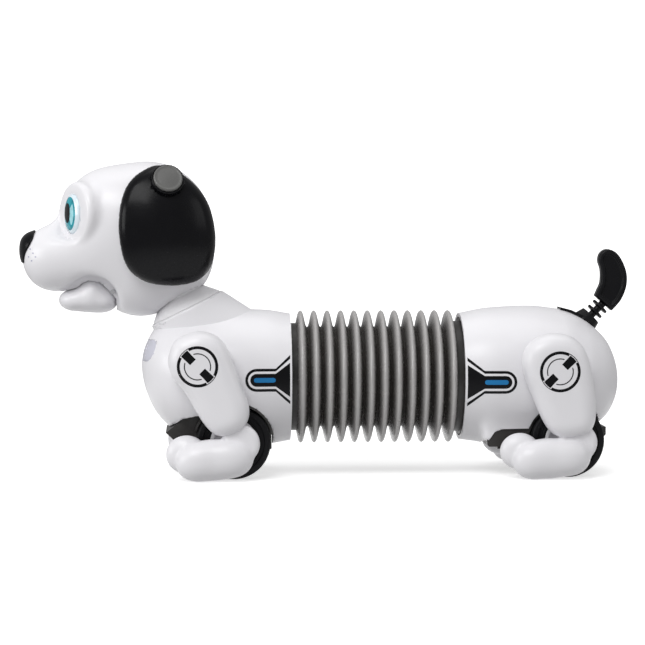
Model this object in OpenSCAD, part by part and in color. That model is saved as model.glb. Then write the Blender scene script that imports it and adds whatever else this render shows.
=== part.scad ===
// Robot dachshund toy: a two-part body joined by a bellows, driven wheels behind swinging legs,
// and a head that turns on a tilted neck.
// Millimetres. The dog faces -X, its left side is -Y, +Z is up, and the tyres stand on z = 0.

/* [Body] */
// Height of the body's long axis above the floor
body_axis_z = 48; // [47:0.5:49]
// Wall thickness of the white casings
wall = 2; // [1.6:0.1:2.4]
// Gap left between the two halves of a casing
seam_gap = 0.1; // [0.05:0.05:0.3]

/* [Bellows] */
// Number of ridges
ridges = 12; // [10:1:14]
// Outer radius at a ridge
ridge_r = 32.7; // [31:0.1:34]
// Outer radius in a valley
valley_r = 24.5; // [23:0.1:26]
// Thickness of the bellows skin
bellows_skin = 1; // [0.8:0.1:1.4]

/* [Wheels] */
// Radius of a tyre
tyre_r = 18; // [17:0.1:18.5]
// Width of a tyre
tyre_w = 8; // [6:0.5:8.5]
// Radius of a hub
hub_r = 11.6; // [10:0.1:13]
// Distance from the middle to a tyre's inner face
wheel_inner_y = 21.5; // [21:0.1:22]
// Radius of a wheel axle
axle_r = 1.5; // [1.2:0.1:1.8]
// Radial play of everything that turns on a shaft
running_play = 0.05; // [0.03:0.01:0.08]

/* [Legs] */
// Radius of the shaft that a pair of legs swings on
leg_shaft_r = 2; // [1.6:0.1:2.4]
// Distance from the middle to the inner face of a leg
leg_inner_y = 34.8; // [34.6:0.1:35.4]
// Distance from the middle to the outer face of a leg
leg_outer_y = 46.5; // [44:0.5:48]

/* [Ears] */
// Radius of the sphere that an ear's outer face lies on
ear_outer_r = 50; // [49:0.5:51]
// Thickness of an ear
ear_thickness = 3.6; // [3:0.1:4]
// Radius of the round boss that an ear swings on
ear_boss_r = 8; // [7:0.1:8.5]
// Radius of the push button
button_r = 7.1; // [6:0.1:7.2]

/* [Gears] */
// Module of the wheel drive's gears
drive_module = 0.5; // [0.5:0.05:0.5]
// Module of the stretch rack and its pinion
rack_module = 0.8; // [0.8:0.1:0.8]
// Teeth of the stretch pinion
rack_pinion_teeth = 16; // [14:1:18]

/* [Hidden] */
$fn = 48;

left = -1;
right = 1;
sliver = 0.02;

// Body sections: [x, centre height, half width, half height].
front_rim_x = -17;
front_sections = [
    [front_rim_x, body_axis_z, 31.7, 31.7], [-30, body_axis_z, 33.3, 33.6], [-46, body_axis_z, 34, 34],
    [-60, body_axis_z + 0.5, 33.6, 33.4], [-70, body_axis_z + 1.5, 31.5, 31],
    [-78, body_axis_z + 3, 27, 26.5], [-84, body_axis_z + 4, 21, 20.5],
    [-88, body_axis_z + 5, 13.5, 13], [-90.4, body_axis_z + 6, 4, 4]
];
rear_rim_x = 67.8;
rear_sections = [
    [rear_rim_x, body_axis_z, 31.7, 31.7], [84, body_axis_z + 0.5, 33.6, 34],
    [102, body_axis_z + 0.8, 34, 34.5], [118, body_axis_z + 0.5, 33, 33.2],
    [130, body_axis_z, 29.5, 29], [137, body_axis_z - 0.5, 25, 24], [142, body_axis_z - 1, 19.5, 19],
    [145.5, body_axis_z - 1.5, 13, 12.5], [147.7, body_axis_z - 2, 4, 4]
];

// Wheels, legs and feet, as [x, z].
front_wheel = [-45.4, tyre_r];
hind_wheel = [118.7, tyre_r];
wheel_arch_r = tyre_r + 1.8;
wheel_outer_y = wheel_inner_y + tyre_w;
front_leg_pivot = [-62.5, 56.3];
hind_leg_pivot = [111.5, 53.5];
front_leg_top = [-61.5, 56.3];
front_leg_end = [-50.2, 34.2];
hind_leg_top = [111, 55.2];
hind_leg_end = [118, 33];
leg_top_r = 16.3;
leg_end_r = 12.7;

// Neck: a tilted axis through the middle of the collar's top plane.
neck_origin = [-68, 0, 82.3];
neck_tilt = -26.3;
neck_r = 18.2;

// Head.
jaw_hinge = [-104.5, 91];
jaw_pin_r = 1.2;
eye_centre = [-124.3, -15.5, 129.2];
eye_turn = 31.5;
eye_puck_r = 15;
eye_half_w = 7.5;
eye_half_h = 9.8;
ear_pivot = [-77.3, -30, 145];
ear_normal = [0.155, -0.866, 0.475];
ear_centre = ear_pivot - ear_outer_r * ear_normal;

// Tail: the wag axis leans back at 45 degrees.
tail_pivot = [133.5, 0, 77];
tail_lean = 45;

// Wheel drive: three shafts stacked over the front axle.
pressure_angle = 25;
addendum = 0.8;
dedendum = 1.05;
backlash = 0.1;
axle_teeth = 30;
idler_small_teeth = 12;
idler_big_teeth = 32;
motor_teeth = 12;
idler_z = front_wheel[1] + drive_module * (axle_teeth + idler_small_teeth) / 2;
motor_z = idler_z + drive_module * (idler_big_teeth + motor_teeth) / 2;
gear_pin_r = 1;

// Stretch drive.
rack_pitch_z = 43.7;
rack_pinion_x = 95;
rack_pinion_r = rack_module * rack_pinion_teeth / 2;
rack_pinion_z = rack_pitch_z + rack_pinion_r;
rack_end_x = 112;
rack_half_w = 4;

bay_half_w = 24.8;
bay = [[78.6, 34], [78.6, 25], [79.4, 15.6], [80.2, 14.8], [98.2, 14.8], [99.7, 21], [101.8, 25], [102.4, 27.5], [102.4, 34]];
cell_r = 5.25;
cell_half_l = 22.25;
cell_places = [[90.5, 21.2], [85.05, 30.3], [95.95, 30.3]];

// ---------- helpers ----------

// A cylinder along Y at a place [x, z], from y0 to y1.
module ycyl(place, r, y0, y1) {
    translate([place[0], y1, place[1]]) rotate([90, 0, 0]) cylinder(r = r, h = y1 - y0);
}

// A flat X-Z outline pulled along Y from y0 to y1.
module yextrude(y0, y1) {
    translate([0, y1, 0]) rotate([90, 0, 0]) linear_extrude(y1 - y0) children();
}

// The same shape on the left and on the right.
module both_sides() {
    children();
    mirror([0, 1, 0]) children();
}

module on_side(side) {
    if (side < 0) children();
    else mirror([0, 1, 0]) children();
}

// Keeps the left or right half of a shape.
module half(side) {
    intersection() {
        children();
        on_side(side) translate([-200, -100, -20]) cube([400, 100 - seam_gap / 2, 220]);
    }
}

module ellipsoid(centre, radii, fn = 26) {
    translate(centre) scale(radii) sphere(r = 1, $fn = fn);
}

module ring_section(s, grow) {
    translate([s[0], 0, s[1]]) rotate([0, 90, 0])
        scale([max(0.4, s[3] + grow), max(0.4, s[2] + grow), 1]) cylinder(r = 1, h = sliver, $fn = 40);
}

// A smooth body run through its sections, with grow added to every radius.
module lofted(sections, grow = 0) {
    for (i = [0 : len(sections) - 2]) hull() {
        ring_section(sections[i], grow);
        ring_section(sections[i + 1], grow);
    }
}

// An upright tube ring around X.
module xring(x0, x1, r_out, r_in) {
    translate([x0, 0, body_axis_z]) rotate([0, 90, 0]) difference() {
        cylinder(r = r_out, h = x1 - x0, $fn = 96);
        translate([0, 0, -1]) cylinder(r = r_in, h = x1 - x0 + 2, $fn = 96);
    }
}

module along_neck() {
    translate(neck_origin) rotate([0, neck_tilt, 0]) children();
}

// Local +Z runs outward along the left ear's swing axis, from the ear sphere's centre.
module along_ear() {
    translate(ear_centre)
        rotate([0, 0, atan2(ear_normal[1], ear_normal[0])])
        rotate([0, acos(ear_normal[2] / norm(ear_normal)), 0]) children();
}

// Local +Z looks out of the left eye, and local +Y is up.
module along_eye() {
    translate(eye_centre) rotate([0, 0, eye_turn - 90]) rotate([90, 0, 0]) children();
}

// ---------- gears ----------

function inv_angle(a) = tan(a) * 180 / PI - a;

// Half the angle that a tooth spans at radius rho.
function tooth_half(n, m, rho) =
    let (pitch_r = n * m / 2, base_r = pitch_r * cos(pressure_angle))
    90 / n - backlash / pitch_r * 90 / PI + inv_angle(pressure_angle)
        - (rho > base_r ? inv_angle(acos(base_r / rho)) : 0);

function gear_radii(n, m) =
    let (pitch_r = n * m / 2, base_r = pitch_r * cos(pressure_angle),
         root_r = pitch_r - dedendum * m, tip_r = pitch_r + addendum * m, start_r = max(base_r, root_r))
    concat(root_r < base_r ? [root_r] : [], [for (k = [0 : 4]) start_r + (tip_r - start_r) * k / 4]);

// A spur gear's outline with a tooth pointing at an angle.
module gear_outline(n, m, tooth_at) {
    radii = gear_radii(n, m);
    last = len(radii) - 1;
    polygon([for (i = [0 : n - 1], j = [0 : 2 * last + 1])
        let (k = j <= last ? j : 2 * last + 1 - j,
             side = j <= last ? -1 : 1,
             a = tooth_at + 360 * i / n + side * tooth_half(n, m, radii[k]))
        radii[k] * [cos(a), sin(a)]]);
}

module spur(place, n, m, tooth_at, y0, y1) {
    translate([place[0], y1, place[1]]) rotate([90, 0, 0])
        linear_extrude(y1 - y0) gear_outline(n, m, tooth_at);
}

// ---------- front body ----------

module front_inside() {
    translate([wall, 0, 0]) lofted(front_sections, -wall);
}

module front_under_cut(y_half = 60) {
    yextrude(-y_half, y_half) {
        polygon([[-86, 5], [-79.3, 22.2], [-70, 29.3], [-63, 31], [-50, 31], [-50, 5]]);
        translate(front_wheel) circle(r = wheel_arch_r, $fn = 72);
    }
}

module chest_slot(grow = 0) {
    translate([-100, 0, 62]) rotate([90, 0, 90]) linear_extrude(30) offset(r = 5.3 + grow, $fn = 32)
        square([26, 0.1], center = true);
}

module front_shell(side) {
    color("white") half(side) difference() {
        lofted(front_sections);
        front_inside();
        front_under_cut();
        along_neck() translate([0, 0, -30]) cylinder(r = neck_r + 0.5, h = 60, $fn = 72);
        ycyl(front_leg_pivot, leg_shaft_r + 0.06, -50, 50);
        chest_slot(0.15);
    }
}

module chest_lens() {
    color("lightblue") difference() {
        intersection() {
            lofted(front_sections);
            chest_slot();
        }
        front_inside();
    }
}

module front_chassis() {
    outline = [[-78.6, 22], [-70, 28.6], [-66, 30], [-27, 30], [-26.6, 14], [-36, 8.2], [-54, 8.2], [-72, 16]];
    color("dimgray") difference() {
        yextrude(-19.2, 19.2) polygon(outline);
        yextrude(-17.6, 17.6) offset(delta = -1.6) polygon(outline);
        yextrude(-17.6, 17.6) polygon([[-64, 26], [-28.6, 26], [-28.6, 31], [-64, 31]]);
        ycyl(front_wheel, axle_r + running_play, -25, 25);
        for (x = [-69, -33], y = [-12, 12]) translate([x, y, 0]) cylinder(r = 1.3, h = 25);
        for (y = [-6 : 3 : 6]) translate([-66, y, 0]) cylinder(r = 0.8, h = 20);
    }
}

// A disc that closes a casing's open end, with the ring that holds the bellows.
module bulkhead(x_disc, x_ring, ring_r, slot_h) {
    color("dimgray") difference() {
        union() {
            xring(min(x_disc, x_ring), max(x_disc, x_ring), ring_r, valley_r + 0.1);
            translate([x_disc + (x_disc < x_ring ? -3.2 : 0), 0, body_axis_z]) rotate([0, 90, 0])
                cylinder(r = 29.2, h = 3.2, $fn = 96);
        }
        translate([x_disc - 5, -rack_half_w - 0.1, rack_pitch_z - slot_h]) cube([10, 2 * rack_half_w + 0.2, slot_h + 1]);
    }
}

module front_bulkhead() {
    bulkhead(front_rim_x, front_rim_x + 3, 26.8, 6.1);
}

module rear_bulkhead() {
    bulkhead(rear_rim_x, rear_rim_x - 3.2, 27.6, 6.4);
}

module neck_collar() {
    color("white") difference() {
        hull() {
            along_neck() translate([0, 0, -1.5]) cylinder(r = 19.8, h = 1.5, $fn = 72);
            translate([-60.4, 0, 71]) scale([23.2, 20.6, 1]) cylinder(r = 1, h = 1, $fn = 72);
            translate([-50, 0, 78.5]) scale([18.4, 14.5, 1]) cylinder(r = 1, h = 0.5, $fn = 72);
        }
        along_neck() translate([0, 0, -40]) cylinder(r = neck_r + 0.5, h = 50, $fn = 72);
        lofted(front_sections, 0.05);
    }
}

// A wide foot, a cone and a spigot, with grow added outside.
module neck_turned(low, grow = 0) {
    along_neck() rotate_extrude($fn = 96) polygon([[0, low], [neck_r + grow, low], [neck_r + grow, 1 + grow / 2],
        [neck_r - 6 + grow, 7 + grow / 2], [neck_r - 6 + grow, 12 + grow], [0, 12 + grow]]);
}

module neck_post() {
    color("gainsboro") difference() {
        neck_turned(-7);
        along_neck() rotate_extrude($fn = 96) polygon([[0, -8], [neck_r - 2, -8], [neck_r - 2, 0],
            [neck_r - 8.2, 6.2], [neck_r - 8.2, 10], [8, 10], [8, 15], [0, 15]]);
    }
}

// A steel shaft with a push-on washer inside each leg.
module leg_shaft(pivot) {
    color("silver") {
        ycyl(pivot, leg_shaft_r, -43.6, 43.6);
        both_sides() ycyl(pivot, leg_shaft_r + 2, -43.4, -42.4);
    }
}

module front_gearbox() {
    plate = [[-56, 31], [-56, 51], [-35, 51], [-35, 12.5], [-52, 12.5]];
    color("lightgray") difference() {
        union() {
            for (y = [10.9, 16.6]) yextrude(y, y + 1) polygon(plate);
            for (x = [-54.3, -36.7]) ycyl([x, 49.3], 1.3, 11.2, 17);
            ycyl([front_wheel[0], idler_z], gear_pin_r, 11.2, 17);
        }
        ycyl(front_wheel, axle_r + 0.5, 10, 18);
        ycyl([front_wheel[0], motor_z], 3.2, 10, 12.5);
        ycyl([front_wheel[0], motor_z], gear_pin_r + running_play, 14, 18);
    }
}

module drive_motor() {
    color("silver") difference() {
        intersection() {
            ycyl([front_wheel[0], motor_z], 10, -15, 10.8);
            translate([front_wheel[0] - 7.7, -30, motor_z - 12]) cube([15.4, 60, 24]);
        }
        ycyl([front_wheel[0], motor_z], gear_pin_r + running_play, -8, 12);
    }
}

module drive_motor_pinion() {
    place = [front_wheel[0], motor_z];
    color("gold") {
        spur(place, motor_teeth, drive_module, 285, 14.7, 16.3);
        ycyl(place, gear_pin_r, -7.5, 17.4);
    }
}

module drive_idler_gear() {
    place = [front_wheel[0], idler_z];
    color("ivory") difference() {
        union() {
            spur(place, idler_small_teeth, drive_module, 285, 12.5, 14.9);
            spur(place, idler_big_teeth, drive_module, 90, 14.9, 16.1);
        }
        ycyl(place, gear_pin_r + running_play, 12, 17);
    }
}

module front_axle_and_gear() {
    color("silver") {
        ycyl(front_wheel, axle_r, -wheel_outer_y - 0.6, wheel_outer_y + 0.6);
        spur(front_wheel, axle_teeth, drive_module, 90, 12.8, 14.4);
    }
}

module rear_axle() {
    color("silver") ycyl(hind_wheel, axle_r, -wheel_outer_y - 0.6, wheel_outer_y + 0.6);
}

// A dished hub on each end of an axle.
module hubs(place) {
    color("white") both_sides() difference() {
        ycyl(place, hub_r, -wheel_outer_y, -wheel_inner_y);
        ycyl(place, axle_r, -wheel_outer_y - 1, -wheel_inner_y + 1);
        difference() {
            ycyl(place, hub_r - 2, -wheel_outer_y - 1, -wheel_outer_y + 2);
            ycyl(place, 3.5, -wheel_outer_y - 2, -wheel_outer_y + 3);
        }
    }
}

// A tyre with rounded shoulders on each hub.
module tyres(place) {
    color("black") both_sides() translate([place[0], -wheel_inner_y, place[1]]) rotate([90, 0, 0])
        rotate_extrude($fn = 96) polygon([
            [hub_r, 0], [tyre_r - 1.2, 0], [tyre_r, 1.2], [tyre_r, tyre_w - 1.2],
            [tyre_r - 1.2, tyre_w], [hub_r, tyre_w]
        ]);
}

module speaker() {
    color("gray") translate([-66.5, 0, 0]) {
        translate([0, 0, 31.4]) cylinder(r = 10, h = 2.4);
        translate([0, 0, 33.8]) cylinder(r = 5, h = 3);
    }
}

module circuit_board() {
    color("green") translate([-60, -17, 64]) cube([38, 34, 1.6]);
    color("green") for (x = [-52, -40, -30]) translate([x, -6, 65.6]) cube([6, 8, 1.2]);
}

module screw(at, length) {
    translate(at) {
        cylinder(r = 1.15, h = length, $fn = 24);
        translate([0, 0, -1.3]) cylinder(r = 2.1, h = 1.3, $fn = 24);
    }
}

module front_screws() {
    color("silver") for (y = [-12, 12]) {
        screw([-69, y, 13.6], 12);
        screw([-33, y, 8.6], 14);
    }
}

// A toothed bar, fixed to the front bulkhead, that the rear body runs along.
module stretch_rack() {
    pitch = PI * rack_module;
    root_z = rack_pitch_z - dedendum * rack_module;
    tip_z = rack_pitch_z + addendum * rack_module;
    half_root = pitch / 4 - backlash / 2 + dedendum * rack_module * tan(pressure_angle);
    half_tip = pitch / 4 - backlash / 2 - addendum * rack_module * tan(pressure_angle);
    first = -22;
    last = 6;
    color("ivory") yextrude(-rack_half_w, rack_half_w) {
        polygon([[-30, rack_pitch_z - 6], [rack_end_x, rack_pitch_z - 6], [rack_end_x, root_z], [-30, root_z]]);
        for (k = [first : last]) let (x = rack_pinion_x + (k + 0.5) * pitch)
            polygon([[x - half_root, root_z - 0.1], [x + half_root, root_z - 0.1], [x + half_root, root_z],
                     [x + half_tip, tip_z], [x - half_tip, tip_z], [x - half_root, root_z]]);
    }
}

// ---------- bellows ----------

// Half a ridge, from its crest outwards: [share of half a pitch, share of the depth].
ridge_shape = [[0, 0], [0.21, 0.05], [0.36, 0.18], [0.52, 0.45], [0.66, 0.7], [0.81, 0.9], [1, 1]];

module bellows() {
    x0 = front_rim_x + 3;
    x1 = rear_rim_x - 3.2;
    pitch = (x1 - x0) / ridges;
    depth = ridge_r - valley_r;
    last = len(ridge_shape) - 1;
    ridged = [for (i = [0 : ridges - 1], j = [-last : (i == ridges - 1 ? last : last - 1)])
        let (s = ridge_shape[abs(j)])
        [ridge_r - depth * s[1], x0 + pitch * (i + 0.5 + (j < 0 ? -0.5 : 0.5) * s[0])]];
    outer = concat([[valley_r, x0 - 2.9]], ridged, [[valley_r, x1 + 2.9]]);
    inner = [for (i = [len(outer) - 1 : -1 : 0]) [outer[i][0] - bellows_skin, outer[i][1]]];
    color("darkgray") translate([0, 0, body_axis_z]) rotate([0, 90, 0])
        rotate_extrude($fn = 96) polygon(concat(outer, inner));
}

// ---------- rear body ----------

module rear_inside() {
    translate([-wall, 0, 0]) lofted(rear_sections, -wall);
}

module rear_under_cut() {
    yextrude(-60, 60) {
        polygon([[81.5, 5], [81.5, 15], [84, 23], [101.9, 23.5], [106.3, 28.2], [112, 28.2], [112, 5]]);
        translate(hind_wheel) circle(r = wheel_arch_r, $fn = 72);
    }
}

module tail_plate(grow = 0) {
    yextrude(-5.5 - grow, 5.5 + grow) offset(delta = grow)
        polygon([[118.5, 82.6], [124, 81.2], [130, 78.4], [130, 75], [124, 78.4], [118.5, 80]]);
}

module rear_shell(side) {
    color("white") half(side) difference() {
        lofted(rear_sections);
        rear_inside();
        rear_under_cut();
        ycyl(hind_leg_pivot, leg_shaft_r + 0.06, -50, 50);
        translate(tail_pivot) rotate([0, tail_lean, 0]) translate([0, 0, -8]) cylinder(r = 6.8, h = 20);
        tail_plate(0.15);
        yextrude(-bay_half_w - 0.1, bay_half_w + 0.1) offset(delta = 0.1) polygon(bay);
    }
}

module rear_chassis() {
    keel = [[101, 25], [101, 15.6], [105.5, 15.6], [105.5, 11], [130, 11], [139.2, 20], [139.2, 23.8]];
    color("dimgray") difference() {
        union() {
            yextrude(-bay_half_w, bay_half_w) polygon(bay);
            yextrude(-19.2, 19.2) polygon(keel);
        }
        translate([96, -5.2, 12]) cube([9.6, 10.4, 3.5]);
        translate([102.8, 0, 15]) cylinder(r = 1.3, h = 5);
        yextrude(-23.7, 23.7) polygon([[79.7, 35], [79.7, 25.5], [84.4, 16], [84.4, 13], [97, 13], [97, 16],
            [98.4, 21], [100.5, 25.3], [101.3, 27.8], [101.3, 35]]);
        yextrude(-17.6, 17.6) polygon([[102.8, 26], [102.8, 19.4], [107.1, 19.4], [107.1, 12.6],
            [129.3, 12.6], [137.6, 20.6], [137.6, 26]]);
        ycyl(hind_wheel, axle_r + running_play, -25, 25);
        for (y = [-12, 12]) {
            translate([109, y, 0]) cylinder(r = 1.3, h = 20);
            translate([128, y, 0]) cylinder(r = 1.3, h = 20);
        }
        translate([119.4, -2.2, 8]) cube([8.2, 4.4, 6]);
    }
}

// A shallow tray under the battery bay.
module battery_door() {
    color("dimgray") difference() {
        union() {
            translate([84.6, -23.2, 13.6]) cube([12.2, 46.4, 1.8]);
            translate([96, -5, 13.6]) cube([9.3, 10, 1.8]);
        }
        translate([102.8, 0, 0]) cylinder(r = 1.3, h = 20);
        for (y = [12 : 2 : 18]) translate([87.5, y, 12.8]) cube([6.4, 0.9, 1.3]);
    }
}

module battery_door_screw() {
    color("silver") translate([102.8, 0, 13.6]) {
        cylinder(r = 1.15, h = 5, $fn = 24);
        translate([0, 0, -1]) cylinder(r = 2, h = 1, $fn = 24);
    }
}

module batteries() {
    color("orange") for (p = cell_places) {
        ycyl(p, cell_r, -cell_half_l, cell_half_l - 0.8);
        ycyl(p, 1.9, cell_half_l - 0.9, cell_half_l);
    }
}

// Sprung strips at both ends of the battery bay.
module battery_contacts() {
    color("silver") for (p = cell_places) {
        translate([p[0] - 3, cell_half_l + 0.1, p[1] - 3]) cube([6, 0.4, 6]);
        ycyl(p, 2.8, -cell_half_l - 1.2, -cell_half_l - 0.1);
    }
}

module power_switch() {
    color("black") {
        translate([120, -2, 9.9]) cube([3, 4, 3]);
        translate([118.2, -3.6, 12.7]) cube([6.6, 7.2, 0.8]);
    }
}

module rear_screws() {
    color("silver") for (x = [109, 128], y = [-12, 12]) screw([x, y, 10.9], 10);
}

// Side plates that carry the stretch pinion, with a channel under the rack.
module rear_gearbox() {
    x0 = 85;
    x1 = 105;
    floor_z = rack_pitch_z - 6.1;
    color("lightgray") difference() {
        union() {
            both_sides() translate([x0, -5.8, floor_z - 1.6]) cube([x1 - x0, 1.4, rack_pinion_z + 6 - floor_z]);
            translate([x0, -5.8, floor_z - 1.6]) cube([x1 - x0, 11.6, 1.6]);
        }
        ycyl([rack_pinion_x, rack_pinion_z], axle_r + running_play, -10, 10);
    }
}

module stretch_pinion() {
    place = [rack_pinion_x, rack_pinion_z];
    color("ivory") {
        spur(place, rack_pinion_teeth, rack_module, 270, -3.6, 3.6);
        ycyl(place, axle_r, -7, 10);
    }
}

// A geared motor beside the pinion, holding the pinion's shaft in its outlet.
module stretch_motor() {
    color("silver") difference() {
        union() {
            translate([86, 7.2, rack_pinion_z - 8]) cube([19, 12, 15]);
            translate([74, 13.2, rack_pinion_z]) rotate([0, 90, 0]) cylinder(r = 6, h = 13);
        }
        ycyl([rack_pinion_x, rack_pinion_z], axle_r + running_play, 6, 11);
    }
}

// The black plate and cup that the tail is pinned in.
module tail_base() {
    color("black") {
        difference() {
            union() {
                tail_plate();
                translate(tail_pivot) rotate([0, tail_lean, 0]) {
                    translate([0, 0, -5]) cylinder(r = 6.4, h = 2.8);
                    translate([0, 0, -2.2]) cylinder(r1 = 6.4, r2 = 5.3, h = 3.9);
                }
            }
            translate(tail_pivot) rotate([0, tail_lean, 0]) translate([0, 0, -3.6]) cylinder(r = 4.2, h = 10);
        }
        translate(tail_pivot) rotate([0, tail_lean, 0]) rotate([0, -90, 0])
            translate([0, 0, -4.6]) cylinder(r = 1, h = 9.2);
    }
}

// A flexible ribbed stem with a curved blade.
blade_path = [[141.4, 85.4, 4.4], [143.6, 88.8, 6.1],
    [145.8, 93.6, 6.6], [146.1, 99.2, 6.3], [144.2, 105, 5.6], [142.3, 107.8, 4.4]];

module tail() {
    color("black") {
        translate(tail_pivot) rotate([0, tail_lean, 0]) {
            difference() {
                union() {
                    rotate([0, -90, 0]) translate([0, 0, -3]) cylinder(r = 2.4, h = 6);
                    cylinder(r = 1.7, h = 11);
                    for (k = [0 : 1]) translate([0, 0, 3.9 + 3.5 * k]) cylinder(r = 4.3, h = 1.3);
                }
                rotate([0, -90, 0]) translate([0, 0, -6]) cylinder(r = 1 + running_play, h = 12);
            }
        }
        for (i = [0 : len(blade_path) - 2]) hull() for (p = [blade_path[i], blade_path[i + 1]])
            ellipsoid([p[0], 0, p[1]], [p[2], 3.6, p[2]], 14);
    }
}

// ---------- head ----------

module eye_puck(grow) {
    along_eye() hull() {
        translate([0, 0, -14]) cylinder(r = eye_puck_r + grow, h = 11, $fn = 40);
        translate([0, 0, -14]) cylinder(r = eye_puck_r - 4 + grow, h = 14 + grow, $fn = 40);
    }
}

module head_solid(grow = 0) {
    hull() {
        ellipsoid([-88, 0, 121], [33 + grow, 30.5 + grow, 34.3 + grow]);
        ellipsoid([-104, 0, 126.3], [26.4 + grow, 26 + grow, 26.6 + grow]);
        ellipsoid([-91, 0, 104], [25 + grow, 23 + grow, 25.5 + grow]);
        ellipsoid([-78, 0, 108], [23 + grow, 22 + grow, 23 + grow]);
    }
    hull() {
        ellipsoid([-134, 0, 107.4], [15.3 + grow, 15.5 + grow, 16.2 + grow]);
        ellipsoid([-108, 0, 112], [20 + grow, 22 + grow, 20 + grow]);
    }
    both_sides() eye_puck(grow);
}

module nose_solid(grow = 0) {
    hull() {
        ellipsoid([-145.3, 0, 114.2], [6 + grow, 7.5 + grow, 6.4 + grow], 24);
        ellipsoid([-144.6, 0, 110], [5 + grow, 4.5 + grow, 5 + grow], 24);
    }
}

module jaw_solid(grow = 0) {
    hull() {
        ellipsoid([-123.2, 0, 87.6], [9 + grow, 10 + grow, 7 + grow], 24);
        ellipsoid([-108, 0, 88.8], [6.3 + grow, 10 + grow, 7.4 + grow], 24);
    }
}

module eye_dome(grow = 0) {
    along_eye() hull() translate([0, 0, -0.8]) scale([eye_half_w + grow, eye_half_h + grow, 3 + grow])
        sphere(r = 1, $fn = 26);
}

module head_shell(side) {
    color("white") half(side) difference() {
        head_solid();
        head_solid(-wall);
        neck_turned(-20, 0.3);
        nose_solid(0.1);
        hull() for (turn = [4.5, -10.5]) translate([jaw_hinge[0], 0, jaw_hinge[1]]) rotate([0, turn, 0])
            translate([-jaw_hinge[0], 0, -jaw_hinge[1]]) jaw_solid(0.5);
        both_sides() {
            along_eye() translate([0, 0, -6]) scale([eye_half_w + 0.2, eye_half_h + 0.2, 1])
                cylinder(r = 1, h = 12, $fn = 48);
            along_ear() cylinder(r = ear_boss_r + 0.15, h = 60, $fn = 64);
        }
        ycyl(jaw_hinge, jaw_pin_r + 0.1, -12.5, 12.5);
    }
}

module nose() {
    color("black") nose_solid();
}

module jaw() {
    color("white") difference() {
        jaw_solid();
        ycyl(jaw_hinge, jaw_pin_r + running_play, -15, 15);
    }
}

module jaw_pin() {
    color("silver") ycyl(jaw_hinge, jaw_pin_r, -12.3, 12.3);
}

module eye_lenses() {
    color("lightcyan") both_sides() intersection() {
        eye_dome();
        along_eye() translate([-20, -20, -1.6]) cube([40, 40, 10]);
    }
}

module eye_irises() {
    color("teal") both_sides() along_eye() translate([0, 0, -2.6]) linear_extrude(0.9)
        scale([eye_half_w - 0.3, eye_half_h - 0.3]) circle(r = 1, $fn = 40);
}

module ear_outline() {
    hull() {
        translate([-80, 136]) circle(r = 17.4, $fn = 32);
        translate([-85, 120]) circle(r = 16, $fn = 32);
        translate([-81, 108]) circle(r = 13.9, $fn = 32);
        translate([-67.6, 107.6]) circle(r = 13.5, $fn = 32);
        translate([-70, 118]) circle(r = 16.4, $fn = 32);
    }
}

module ear(side) {
    color("black") on_side(side) difference() {
        intersection() {
            translate(ear_centre) sphere(r = ear_outer_r);
            yextrude(-60, -10) ear_outline();
        }
        translate(ear_centre) sphere(r = ear_outer_r - ear_thickness);
        along_ear() cylinder(r = ear_boss_r + running_play, h = 70);
    }
}

module ear_bosses() {
    color("black") both_sides() along_ear() translate([0, 0, ear_outer_r - 10]) difference() {
        cylinder(r = ear_boss_r, h = 12.6);
        translate([0, 0, -1]) cylinder(r = button_r + 0.06, h = 15);
    }
}

module ear_button(side) {
    color("dimgray") on_side(side) along_ear() translate([0, 0, ear_outer_r - 1]) {
        cylinder(r = button_r, h = 4.2);
        translate([0, 0, 4.2]) cylinder(r1 = button_r, r2 = button_r - 0.8, h = 0.6);
    }
}

// A tact switch under each ear button.
module ear_switches() {
    color("gray") both_sides() along_ear() {
        translate([-3, -3, ear_outer_r - 8]) cube([6, 6, 3.6]);
        translate([0, 0, ear_outer_r - 4.5]) cylinder(r = 1.7, h = 2);
    }
}

// ---------- legs ----------

// A round-edged slab between two discs, from the inner face y0 out to y1.
module leg_slab(top, top_r, end, end_r, y0, y1, edge) {
    hull() for (d = [[top, top_r], [end, end_r]]) {
        ycyl(d[0], d[1], -y1 + edge, -y0);
        ycyl(d[0], d[1] - edge, -y1, -y0);
    }
}

// The outer cover of a leg.
module leg(side, pivot, top, end) {
    seat_y = leg_inner_y + 1.7;
    color("white") on_side(side) difference() {
        leg_slab(top, leg_top_r, end, leg_end_r, seat_y, leg_outer_y, 3.5, $fn = 40);
        leg_slab(top, leg_top_r - wall, end, leg_end_r - wall, seat_y - 1, leg_outer_y - wall, 2.5, $fn = 40);
    }
}

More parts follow.
